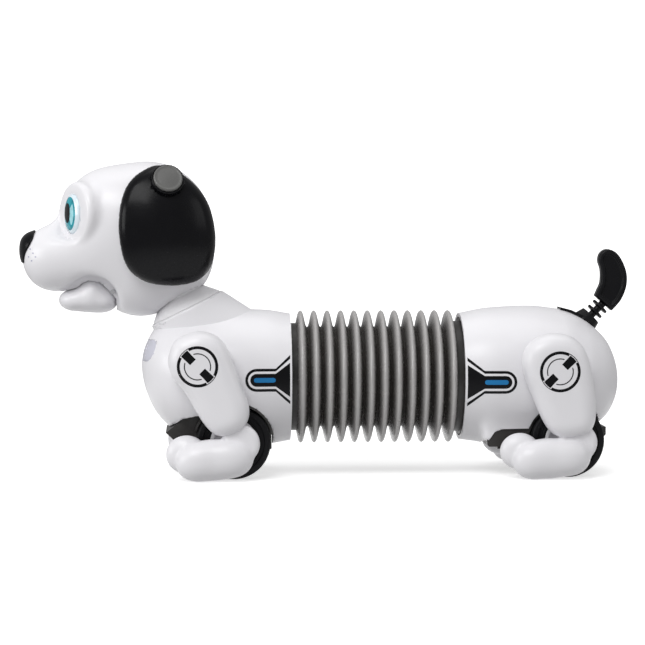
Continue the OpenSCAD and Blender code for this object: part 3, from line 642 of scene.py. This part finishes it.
JAW_GAP = 0.35
jaw_sweep = swept(jaw, HINGE, (0.5, -2, -4.5, -7.5, -10.5))
jaw_pocket = egg((-112, 0, 91.4), (12.3, 18, 10.8))
nose_border = outline([(-160, 104.9), (-148, 104.9), (-147.9, 107.5), (-147.2, 110.4), (-145.2, 113.7),
                       (-143.5, 117), (-142.8, 120.2), (-142.8, 128), (-160, 128)])
nose_body = merged(3, egg((-144.6, 0, 113.7), (6.1, 8.4, 6.6)), egg((-145.2, 0, 109.3), (4.7, 5.6, 4.9)),
                   lambda x, y, z: muzzle(x, y, z) - 0.5)


def nose_field(x, y, z):
    return smooth_max(nose_body(x, y, z), nose_border(x, y, z), 1.0)


def head_field(x, y, z):
    whole = smooth_min(smooth_min(skull(x, y, z), muzzle(x, y, z), 8), puck(x, y, z), 2)
    face = np.maximum(eye_away(x, y, z) - 12.3, -eye_out(x, y, z))
    whole = smooth_max(whole, -face, 3.5)
    web = 8.5 + 0.8 * np.clip(z - 95, 0, 10)
    return smooth_max(whole, -smooth_max(jaw_pocket(x, y, z), web - np.abs(y), 3), 7)


def neck_hole(x, y, z):
    """The neck's wide foot, its cone and its spigot, and the play round them."""
    up = neck_along(x, y, z)
    return np.maximum(neck_away(x, y, z) - np.clip(18.5 - (up - 1.15), 12.5, 18.5), up - 12.4)


socket = eye_egg(EYE_HALF_W + 0.12, EYE_HALF_H + 0.12, 3.4, -0.4)
head = skin([head_field, seam, lambda x, y, z: -neck_hole(x, y, z),
             lambda x, y, z: JAW_GAP - jaw_sweep(x, y, z), lambda x, y, z: -socket(x, y, z),
             lambda x, y, z: -(nose_field(x, y, z) + 1.2)],
            (-152, -34, 76), (-53, 2, 158), 0.8)
both_sides(*head, ("head_casing_left", "head_casing_right"), ("head", "head"), "white_casing",
           (("head_shell_left",), ("head_shell_right",)))
nose = skin([nose_field, lambda x, y, z: x + 140], (-153, -11, 103), (-139, 11, 123), 0.4)
piece("nose_cap", *nose, "head", "black_plastic", ("nose",))
jaw_mesh = skin([jaw], (-134, -13, 78), (-99, 13, 101), 0.6)
piece("jaw_casing", *jaw_mesh, "lower_jaw", "white_casing", ("jaw",))

# Eyes: a domed white with the iris and pupil printed under its gloss.
DOME_DEEP, DOME_SINK = 2.4, -0.9
dome = eye_egg(EYE_HALF_W - 0.05, EYE_HALF_H - 0.05, DOME_DEEP, DOME_SINK)


def eye_patch(borders, lift):
    """A thin curved patch on the left eye's dome, from loops of (side, up) in the eye's own plane."""
    def field(u, v, w):
        return egg((0, DOME_SINK, 0), (EYE_HALF_W - 0.05, DOME_DEEP, EYE_HALF_H - 0.05))(u, -v, w)

    points, faces = printed(field, borders, spacing=0.6, lift=lift, thick=0.05)
    u, out, up = points[:, 0], -points[:, 1], points[:, 2]
    turned = EYE + u[:, None] * EYE_SIDE + out[:, None] * EYE_OUT + up[:, None] * UP
    return turned, faces


def oval(side, up, half_w, half_h, start=0, end=360, steps=36):
    full = abs(end - start) >= 360
    angles = np.radians(np.linspace(start, end, steps, endpoint=not full))
    return [(side + half_w * math.cos(a), up + half_h * math.sin(a)) for a in angles]


eyes = skin([dome, lambda x, y, z: -(eye_out(x, y, z) + 2.4)], (-140, -28, 117), (-112, -4, 142), 0.6)
piece("eye_whites", *paired(eyes), "head", "eye_lens", ("eye_lenses",))
iris = eye_patch([oval(-0.6, 0.2, 5.9, 8.2)], 0.05)
piece("eye_iris_rings", *paired(iris), "head", "eye_iris", ("eye_irises",), look=iris_teal)
pale = eye_patch([oval(-0.4, 0.2, 4.7, 6.4, -62, 46, 16) + [(0.9, 2.2), (0.8, -2.6)]], 0.09)
piece("eye_iris_lights", *paired(pale), "head", "eye_iris", look=iris_pale)
pupil = eye_patch([oval(-1.8, 0.5, 3.2, 4.9)], 0.13)
piece("eye_pupils", *paired(pupil), "head", "eye_iris", look=pupil_black)

# The whisker pits are small grey discs of painted shade laid on the muzzle, not holes.
dots = [printed(muzzle, [circle(c, 0.42, 12)], spacing=0.3, lift=0.08, thick=0.5)
        for c in ((-144.8, 112), (-143.3, 110), (-145.6, 108.2), (-142, 108.2), (-144, 106.3))]
piece("whisker_dots", *paired(joined(*dots)), "head", "black_plastic", look=whisker_pit_shade)

# ---------------------------------------------------------------- ears

EAR_CENTRE, EAR_OUT = (-85.05, 13.3, 121.25), (0.155, -0.866, 0.475)
ear_away, _ = about(EAR_CENTRE, EAR_OUT)
ear_border = outline(loop([(-82, 153.2), (-91, 149.4), (-96.8, 143.4), (-100, 134.5), (-101, 124.5),
                           (-100.3, 114.5), (-97.8, 105), (-93, 99), (-86, 95.4), (-77, 94.1), (-69, 94.6),
                           (-62, 96.8), (-56.5, 102.4), (-54, 111), (-54, 122), (-57, 134), (-63, 143),
                           (-71.5, 149.8)]))


def from_ear_centre(x, y, z):
    return np.sqrt((x - EAR_CENTRE[0]) ** 2 + (y - EAR_CENTRE[1]) ** 2 + (z - EAR_CENTRE[2]) ** 2)


ear = skin([lambda x, y, z: smooth_max(smooth_max(from_ear_centre(x, y, z) - 50, ear_border(x, y, z), 5),
                                       46.4 - from_ear_centre(x, y, z), 0.8),
            lambda x, y, z: 8.05 - ear_away(x, y, z), lambda x, y, z: y + 10],
           (-103, -39, 92), (-52, -8, 156), 0.8)
both_sides(*ear, ("ear_flap_left", "ear_flap_right"), ("left_ear", "right_ear"), "black_plastic",
           (("ear_left",), ("ear_right",)))
boss = lathe(fillet([(7.2, 40), (7.2, 52.4), (7.5, 52.6), (8.0, 52.3), (8.0, 50.2), (8.0, 40)], 0.3, 3),
             EAR_CENTRE, EAR_OUT)
grips = []
for k in range(30):
    a = 2 * math.pi * k / 30
    up, side = np.array(EAR_OUT) / np.linalg.norm(EAR_OUT), np.array([0.984, 0.176, 0.0])
    third = np.cross(up, side)
    middle = np.array(EAR_CENTRE) + up * 51.3 + (side * math.cos(a) + third * math.sin(a)) * 7.98
    grips.append(lathe(fillet([(0, -0.85), (0.22, -0.85), (0.22, 0.85), (0, 0.85)], 0.1, 2), middle, up, 8))
piece("ear_button_rims", *paired(joined(boss, *grips)), "head", "black_plastic", ("ear_bosses",))
button = lathe([(0, 49), (7.05, 49)] + [(7.05, 52.9), (7.0, 53.3), (6.8, 53.6), (6.5, 53.72), (6.2, 53.68),
                                        (5.9, 53.55)] + [(r, 53.9 - 0.0105 * r * r) for r in (5, 4, 3, 2, 1)]
               + [(0, 53.9)], EAR_CENTRE, EAR_OUT)
both_sides(*button, ("ear_push_left", "ear_push_right"), ("left_ear_cap", "right_ear_cap"), "button_grey",
           (("ear_button_left",), ("ear_button_right",)))

# ---------------------------------------------------------------- legs

LEG_IN, LEG_OUT = 36.5, 46.5
FRONT_LEG = [(-63, 73), (-54.5, 71), (-49, 65.5), (-44.8, 55.5), (-41.4, 46.5), (-38.6, 38.5), (-38, 32.5),
             (-40, 27.2), (-44.4, 23.6), (-50, 22), (-54.8, 23.1), (-58.6, 26.5), (-62.4, 31.8), (-66.4, 39),
             (-70.5, 45.2), (-74.8, 50.6), (-77, 57), (-76.2, 63.5), (-72.5, 69.2)]
HIND_LEG = [(110.8, 71.5), (118, 70), (124, 65), (127.4, 57), (129.4, 46.5), (130.5, 36.5), (130.2, 28.6),
            (127.6, 23.4), (122, 20.8), (114.4, 20.4), (108.8, 23.2), (105, 28.2), (101.8, 35), (98.6, 43),
            (95.4, 50.8), (94.3, 57.5), (95.8, 63.6), (99.8, 68.2), (105, 70.7)]
# Each paw is three eggs outside, heel to toe, two inside, and the middle of the ankle disc.
PAWS = {
    "front": [((-46, -39.2, 11.6), (10, 7.6, 9.3)), ((-56, -39.2, 10.7), (13, 7.7, 10)),
              ((-64.5, -39.4, 9.5), (9, 7.3, 8.9)), ((-68.3, -35.2, 13), (10, 5.3, 9.3)),
              ((-70.5, -32.2, 11.8), (5.5, 3.6, 6.8)), (-42.3, 18.4)],
    "hind": [((118.4, -39.2, 11.4), (9.6, 7.6, 9.2)), ((107.6, -39.2, 10.5), (13, 7.7, 9.9)),
             ((98.6, -39.4, 9.4), (8.8, 7.3, 8.8)), ((94, -35.2, 13.6), (9.8, 5.3, 9)),
             ((91.8, -32.2, 12.2), (5.5, 3.6, 6.8)), (121.9, 18.2)],
}
HIPS = {"front": (-62.5, 56.3), "hind": (111.5, 53.5)}
SWING = 7.2
TYRE_GAP, SIDE_GAP = 0.5, 0.4


def tyre_sweep(hip, wheel):
    """The space that the tyre takes, as a leg sees it between the limits of its swing."""
    away = swept(lambda x, y, z: np.hypot(x - wheel[0], z - wheel[1]), hip, np.linspace(-SWING, SWING, 9))
    return lambda x, y, z: np.maximum(away(x, y, z) - TYRE_R - TYRE_GAP, -y - OUTER_Y - SIDE_GAP)


leg_fields = {}
for end, points, wheel in (("front", FRONT_LEG, FRONT_WHEEL), ("hind", HIND_LEG, HIND_WHEEL)):
    border = outline(loop(points, 4))

    def leg(x, y, z, border=border):
        return smooth_max(smooth_max(border(x, y, z), -y - LEG_OUT, 9), y + LEG_IN, 1.0)

    leg_fields[end] = leg
    lo, hi = np.min(points, 0), np.max(points, 0)
    both_sides(*skin([leg], (lo[0] - 2, -48.5, lo[1] - 2), (hi[0] + 2, -34.5, hi[1] + 2), 0.8),
               (f"{end}_leg_cover_left", f"{end}_leg_cover_right"), (f"{end}_left_limb", f"{end}_right_limb"),
               "white_casing", ((f"{end}_left_leg",), (f"{end}_right_leg",)))
    heel, sole, toe, second, third, ankle_at = PAWS[end]
    near = merged(4, egg(*heel), egg(*sole), egg(*toe))
    inner = merged(1.2, egg(*second), egg(*third))

    tyre_space = tyre_sweep(HIPS[end], wheel)

    def foot(x, y, z):
        plate = smooth_max(border(x, y, z) + 0.5, np.abs(y + 35.6) - 0.8, 0.6)
        disc = np.sqrt((x - ankle_at[0]) ** 2 + (z - ankle_at[1]) ** 2) - 9.4
        ankle = smooth_max(disc, np.abs(y + 38.2) - 3.6, 3)
        paw = smooth_min(near(x, y, z), inner(x, y, z), 0.9)
        whole = smooth_min(smooth_min(paw, ankle, 1.2), plate, 1.0)
        return smooth_max(whole, -tyre_space(x, y, z), 0.6)

    lo, hi = lo - (8 if end == "front" else 16, 0), hi + (12, 0)
    both_sides(*skin([foot], (min(lo[0], second[0][0] - 12), -48.5, -1), (hi[0], -27, hi[1] + 2), 0.8),
               (f"{end}_paw_left", f"{end}_paw_right"), (f"{end}_left_limb", f"{end}_right_limb"),
               "white_casing", ((f"{end}_left_foot",), (f"{end}_right_foot",)))

# Printed badges: a broken double ring with two blocks, whose outline is (along, across) the block.
BLOCK = [(3.1, -1.9), (6.0, -1.95), (9.0, -2.1), (9.2, 0), (9.0, 2.1), (6.0, 1.95), (3.1, 1.9)]
for end, centre, lean in (("front", (-62.9, 56.3), 135.0), ("hind", (111.8, 53.2), 45.0)):
    borders = []
    for turn in (lean, lean + 180):
        borders.append([ring_sector(centre, 8.5, 9.9, turn + 17, turn + 163)])
        borders.append([ring_sector(centre, 9.55, 9.9, turn - 17, turn + 17)])
        borders.append([ring_sector(centre, 6.0, 6.5, turn + 27, turn + 153)])
        a = math.radians(turn)
        out, side = np.array([math.cos(a), math.sin(a)]), np.array([-math.sin(a), math.cos(a)])
        borders.append([[tuple(np.array(centre) + out * r + side * s) for r, s in BLOCK]])
    marks = joined(*[printed(leg_fields[end], border, spacing=1.2) for border in borders])
    both_sides(*marks, (f"{end}_badge_left", f"{end}_badge_right"), (f"{end}_left_limb", f"{end}_right_limb"),
               "black_plastic", look=print_black)

# Printed marks on the casings beside the bellows, from the rim inwards.
def funnel(rim, sign, centre_z, bend, round_at, radius):
    def border(half_rim, half, from_rim=0.9):
        top = [(from_rim, half_rim), (bend, half)]
        arc = [(round_at + half * math.sin(a), half * math.cos(a)) for a in np.linspace(0, math.pi, 15)]
        return top + arc + [(bend, -half), (from_rim, -half_rim)]

    def place(points):
        return [(rim + sign * u, centre_z + v) for u, v in points]

    outer, inner = border(radius + 6.6, radius + 0.15), border(radius + 4.9, radius - 1.15)
    line = outer + inner[::-1]
    core = border(8.3, 3.1, 1.0)
    bar = ([(bend + 1.2 - 1.15 * math.sin(a), 1.15 * math.cos(a)) for a in np.linspace(math.pi, 0, 9)]
           + [(round_at + 0.2 + 1.15 * math.sin(a), 1.15 * math.cos(a)) for a in np.linspace(0, math.pi, 9)])
    return place(line), place(core), place(bar)


for end, field, body, shape in (
        ("front", front_body, "front_body", funnel(FRONT_RIM, -1, 48.7, 8.0, 17.3, 5.4)),
        ("rear", rear_body, "rear_body", funnel(REAR_RIM, 1, 47.2, 9.2, 19.4, 5.4))):
    line, core, bar = shape
    marks = joined(printed(field, [line], spacing=1.2), printed(field, [core], spacing=1.2))
    both_sides(*marks, (f"{end}_mark_left", f"{end}_mark_right"), (body, body), "black_plastic",
               look=print_black)
    both_sides(*printed(field, [bar], spacing=1.0, lift=0.12), (f"{end}_bar_left", f"{end}_bar_right"),
               (body, body), "chest_lens", look=print_blue)

# ---------------------------------------------------------------- bellows

RIDGES, CREST, DEPTH, SKIN = 12, 33.1, 8.4, 1.0
START, END = -15.0, 65.7
# Painted shade in the bellows' valleys: full up to the first radius, none from the second.
SHADE_UP_TO, UNSHADED_FROM = 25.5, 30.5
fall = curve((0, 0.21, 0.36, 0.52, 0.66, 0.81, 1), (0, 0.05, 0.18, 0.45, 0.7, 0.9, 1))
half_pitch = (END - START) / RIDGES / 2
outer = [(CREST - DEPTH, START - 2.9)]
for ridge in range(RIDGES):
    middle = START + half_pitch * (2 * ridge + 1)
    for t in np.linspace(-1, 1, 23)[:-1]:
        outer.append((CREST - DEPTH * float(fall(abs(t))), middle + t * half_pitch))
outer += [(CREST - DEPTH, END), (CREST - DEPTH, END + 2.9)]
points, faces = lathe(outer + [(r - SKIN, h) for r, h in outer[::-1]], (0, 0, BODY_Z), (1, 0, 0), 144)
bellows = piece("bellows_skin", points, faces, None, "bellows_grey", ("bellows",), sharp=60)
# Painted shade factor for each point: 0 in the valleys, 1 on the crests.
radius = np.hypot([p[1] for p in points], [p[2] - BODY_Z for p in points])
crest = bellows.data.attributes.new("crest", "FLOAT", "POINT")
unshaded = np.clip((radius - SHADE_UP_TO) / (UNSHADED_FROM - SHADE_UP_TO), 0, 1)
crest.data.foreach_set("value", unshaded.astype(np.float32))
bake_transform(bellows)

# ---------------------------------------------------------------- wheels

HUB_R = 11.6
tyre = [(HUB_R, INNER_Y), (16.9, INNER_Y), (17.6, INNER_Y + 0.3), (TYRE_R, INNER_Y + 1.2)]
for groove in (23.6, 25.5, 27.4):
    tyre += [(TYRE_R, groove - 0.35), (17.5, groove - 0.2), (17.5, groove + 0.2), (TYRE_R, groove + 0.35)]
tyre += [(TYRE_R, OUTER_Y - 1.2), (17.6, OUTER_Y - 0.3), (16.9, OUTER_Y), (15.2, OUTER_Y),
         (14.8, OUTER_Y - 0.5), (13.0, OUTER_Y - 0.5), (12.6, OUTER_Y), (HUB_R, OUTER_Y)]
hub = fillet([(1.5, INNER_Y), (HUB_R, INNER_Y), (HUB_R, OUTER_Y), (9.6, OUTER_Y), (9.3, OUTER_Y - 2),
              (3.9, OUTER_Y - 2), (3.5, OUTER_Y), (1.5, OUTER_Y)], 0.35, 3)
for end, wheel in (("front", FRONT_WHEEL), ("rear", HIND_WHEEL)):
    at = (wheel[0], 0, wheel[1])
    piece(f"{end}_tyre_pair", *paired(lathe(tyre, at, (0, -1, 0), 120)), f"{end}_wheels", "tyre_rubber",
          (f"{end}_tyres",), sharp=50)
    piece(f"{end}_hub_pair", *paired(lathe(hub, at, (0, -1, 0), 72)), f"{end}_wheels", "white_casing",
          (f"{end}_hubs",))

# A dark liner in each wheel arch, trimmed to the casing.
LINER_OUT, LINER_IN, LINER_SIDE = 19.75, 18.7, 19.3
for end, body, wheel, casing in (("front", "front_body", FRONT_WHEEL, front_body),
                                 ("rear", "rear_body", HIND_WHEEL, rear_body)):
    def from_wheel(x, y, z):
        return np.sqrt((x - wheel[0]) ** 2 + (z - wheel[1]) ** 2)

    liner = skin([lambda x, y, z: from_wheel(x, y, z) - LINER_OUT,
                  lambda x, y, z: LINER_IN - from_wheel(x, y, z),
                  lambda x, y, z: casing(x, y, z) - 0.2, lambda x, y, z: y + LINER_SIDE],
                 (wheel[0] - 21, -34, wheel[1] - 6), (wheel[0] + 21, -18, wheel[1] + 21), 0.45)
    both_sides(*liner, (f"{end}_arch_liner_left", f"{end}_arch_liner_right"), (body, body),
               "dark_grey_plastic")

# ---------------------------------------------------------------- tail

tail_border = outline(loop([(142.2, 111.6), (139, 109.6), (138, 105.8), (139.3, 101), (139.2, 95),
                            (137.6, 91), (136.4, 88.2), (136.4, 88.2), (144.9, 80.6), (144.9, 80.6),
                            (149.6, 86), (152.3, 92.8), (152.4, 99.5), (150, 106), (146.6, 110.2)], 5))
RIBS_AT, RIB_R, RIB_HALF = (4.55, 8.05), 4.5, 0.65


def tail_field(x, y, z):
    edge = tail_border(x, y, z)
    inward = np.clip((-edge - 1.9) / 0.9, 0, 1)
    rim = 3.5 - 0.9 * inward ** 2 * (3 - 2 * inward)
    blade = smooth_max(edge, np.abs(y) - rim, 1.8)
    away, along = tail_away(x, y, z), tail_along(x, y, z)
    stem = smooth_max(away - 1.9, np.abs(along - 6) - 6, 0.4)
    whole = smooth_min(blade, stem, 0.6)
    for at in RIBS_AT:
        whole = smooth_min(whole, smooth_max(away - RIB_R, np.abs(along - at) - RIB_HALF, 0.4), 0.5)
    return whole


tail = skin([tail_field], (131, -5, 74), (154, 5, 113), 0.35)
piece("tail_blade", *tail, "tail_stem", "rubber_black", ("tail",))

# ---------------------------------------------------------------- CAD nodes that stay

kept = {
    "dark_grey_plastic": ("front_chassis", "rear_chassis", "front_bulkhead", "rear_bulkhead", "battery_door",
                          "ear_switches"),
    "pale_grey_plastic": ("neck_post", "front_gearbox", "rear_gearbox"),
    "steel": ("front_leg_shaft", "rear_leg_shaft", "drive_motor", "speaker", "front_screws", "rear_screws",
              "stretch_motor", "front_axle_and_gear", "rear_axle", "drive_motor_pinion", "battery_contacts",
              "battery_door_screw", "jaw_pin"),
    "board_green": ("circuit_board",),
    "gear_plastic": ("stretch_rack", "stretch_pinion", "drive_idler_gear"),
    "cell_wrap": ("batteries",),
    "black_plastic": ("power_switch",),
    "rubber_black": ("tail_base",),
}
for slot, names in kept.items():
    for name in names:
        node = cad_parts[name]
        node.data.materials.clear()
        node.data.materials.append(looks[slot])
for name in ("front_chassis", "rear_chassis", "battery_door", "tail_base", "power_switch"):
    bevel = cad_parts[name].modifiers.new("soft_edges", "BEVEL")
    bevel.width, bevel.segments, bevel.angle_limit = 0.00035, 2, math.radians(35)

# ---------------------------------------------------------------- floor, light and camera


def plain(name, colour, strength):
    look = bpy.data.materials.new(name)
    look.use_nodes = True
    shader = look.node_tree.nodes["Principled BSDF"]
    shader.inputs["Base Color"].default_value = (*colour, 1)
    shader.inputs["Roughness"].default_value = 0.9
    shader.inputs["Specular IOR Level"].default_value = 0.0
    shader.inputs["Emission Color"].default_value = (*colour, 1)
    shader.inputs["Emission Strength"].default_value = strength
    return look


FLOOR_R, FADE_FROM, FADE_TO = 0.45, 0.15, 0.42
bpy.ops.mesh.primitive_circle_add(vertices=96, radius=FLOOR_R, fill_type="NGON", location=(0, 0, 0))
floor = bpy.context.object
floor.name = "floor"
paper = plain("floor_paper", (0.88, 0.88, 0.88), 0.62)
nodes, link = paper.node_tree.nodes, paper.node_tree.links.new
spread = nodes.new("ShaderNodeVectorMath")
spread.operation = "LENGTH"
link(nodes.new("ShaderNodeTexCoord").outputs["Object"], spread.inputs[0])
fade = nodes.new("ShaderNodeMapRange")
fade.interpolation_type = "SMOOTHSTEP"
for key, value in (("From Min", FADE_FROM), ("From Max", FADE_TO), ("To Min", 1.0), ("To Max", 0.0)):
    fade.inputs[key].default_value = value
link(spread.outputs["Value"], fade.inputs["Value"])
link(fade.outputs["Result"], nodes["Principled BSDF"].inputs["Alpha"])
floor.data.materials.append(paper)
bpy.ops.mesh.primitive_uv_sphere_add(segments=64, ring_count=32, radius=9.0, location=(0, 0, 0))
backdrop = bpy.context.object
backdrop.name = "backdrop"
backdrop.data.materials.append(plain("backdrop_paper", (1, 1, 1), 1.0))
# Only the camera sees the backdrop, and the floor throws no light up onto the dog.
backdrop.visible_diffuse = backdrop.visible_glossy = False
backdrop.visible_shadow = backdrop.visible_transmission = False
floor.visible_diffuse = False

world = bpy.data.worlds.new("room")
bpy.context.scene.world = world
world.use_nodes = True
world.node_tree.nodes["Background"].inputs["Color"].default_value = (1, 1, 1, 1)
world.node_tree.nodes["Background"].inputs["Strength"].default_value = 0.45


LIGHTS_AIM = Vector((0, 0, 0.07))


def softbox(name, where, size, power):
    """An area light, size in metres and power in watts, aimed at the body."""
    data = bpy.data.lights.new(name, "AREA")
    data.shape, data.size, data.size_y, data.energy = "RECTANGLE", size[0], size[1], power
    light = bpy.data.objects.new(name, data)
    light.location = where
    light.rotation_euler = (LIGHTS_AIM - Vector(where)).to_track_quat("-Z", "Y").to_euler()
    bpy.context.scene.collection.objects.link(light)


softbox("key", (-0.5, -0.9, 1.1), (0.9, 0.6), 9.8)
softbox("top", (0.1, 0.1, 1.4), (1.2, 0.8), 4)
softbox("fill", (-1.4, -0.5, 0.4), (0.8, 0.6), 7)
softbox("side", (1.2, -0.7, 0.6), (0.5, 0.8), 2)

view = bpy.data.cameras.new("camera")
view.lens, view.sensor_width = 122.8, 36
camera = bpy.data.objects.new("camera", view)
aim, far = Vector((-0.0005, 0, 0.075)), 1.1
turn, rise = math.radians(-3.2), math.radians(2.9)
back = Vector((math.sin(turn) * math.cos(rise), -math.cos(turn) * math.cos(rise), math.sin(rise)))
camera.location = aim + back * far
camera.rotation_euler = (-back).to_track_quat("-Z", "Y").to_euler()
bpy.context.scene.collection.objects.link(camera)
bpy.context.scene.camera = camera
bpy.context.scene.view_settings.view_transform = "Standard"
